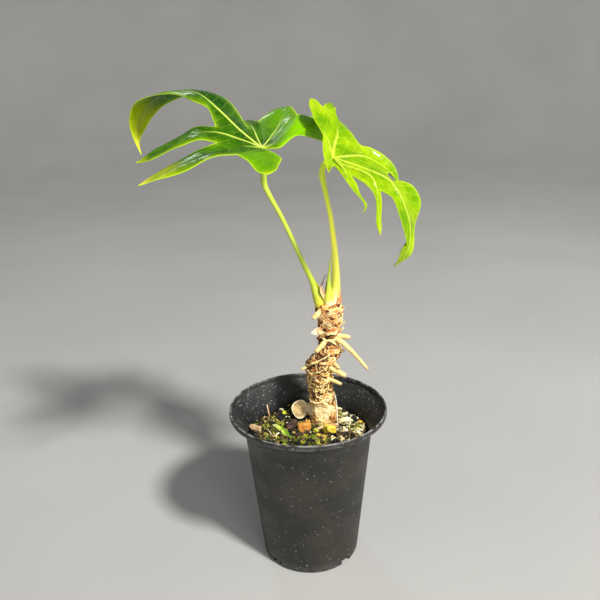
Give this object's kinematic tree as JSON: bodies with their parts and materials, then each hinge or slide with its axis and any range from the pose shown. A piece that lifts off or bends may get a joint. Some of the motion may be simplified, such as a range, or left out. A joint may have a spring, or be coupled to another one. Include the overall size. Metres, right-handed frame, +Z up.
{
  "type": "potted anthurium",
  "caption": "Young anthurium with two deeply lobed leaves on a short bare rooted stem, growing in a tall flared plastic pot of bark mix",
  "frame": {"origin": "centre of the pot's flat underside, on the surface that it stands on", "axes": "+Z up along the pot's axis, +X to the right leaf's side, -Y towards the side that the near leaf lobes reach"},
  "size_m": [0.2101, 0.1504, 0.3566],
  "materials": {
    "pot": "charcoal moulded plastic, satin, dusty and scuffed",
    "soil": "damp bark and moss mix, matte",
    "stem": "fibrous tan stem skin, matte",
    "root": "cream yellow root skin, matte",
    "sheath": "dry papery leaf base, matte",
    "petiole": "smooth yellow green stalk, satin",
    "left_blade": "glossy mid green blade with cream veins",
    "right_blade": "satin yellow green blade with pale veins",
    "bark": "rough bark chip, matte",
    "stone": "porous pumice and pebble, matte",
    "moss": "fleshy green moss strap, satin"
  },
  "bodies": {
    "root": {"aerial_root_back_high": "root", "aerial_root_back_low": "root", "aerial_root_back_mid": "root", "aerial_root_crown_left": "root", "aerial_root_left": "root", "aerial_root_low_right": "root", "aerial_root_mid_right": "root", "aerial_root_short_right": "root", "aerial_root_side_left": "root", "aerial_root_small_right": "root", "aerial_root_upper_right": "root", "amber_pebble": "stone", "bark_strip": "bark", "buried_root_back": "root", "buried_root_front": "root", "buried_root_left": "root", "buried_root_right": "root", "cork_scrap_left": "bark", "cut_side_stub": "stem", "dark_bark_chip_front": "bark", "dark_bark_chip_left": "bark", "dark_bark_chip_right": "bark", "dry_cataphyll": "sheath", "dry_sheath_crown_back": "sheath", "dry_sheath_crown_front": "sheath", "dry_sheath_crown_right": "sheath", "dry_sheath_lower_back": "sheath", "dry_sheath_lower_front": "sheath", "dry_sheath_middle_left": "sheath", "dry_sheath_neck_back": "sheath", "dry_sheath_neck_front": "sheath", "dry_sheath_upper_left": "sheath", "gravel_back": "stone", "gravel_back_left": "stone", "gravel_back_right": "stone", "gravel_left": "stone", "left_leaf_blade": "left_blade", "left_petiole": "petiole", "liverwort_strap": "moss", "long_aerial_root": "root", "new_shoot": "petiole", "olive_stone": "stone", "orange_bark_chip": "bark", "orange_pebble": "stone", "pale_twig": "root", "perlite_back": "stone", "perlite_front": "stone", "perlite_middle": "stone", "perlite_side": "stone", "pot": "pot", "right_leaf_blade": "right_blade", "right_petiole": "petiole", "soil_mass": "soil", "stem": "stem", "yellow_pumice": "stone"}
  },
  "joints": []
}
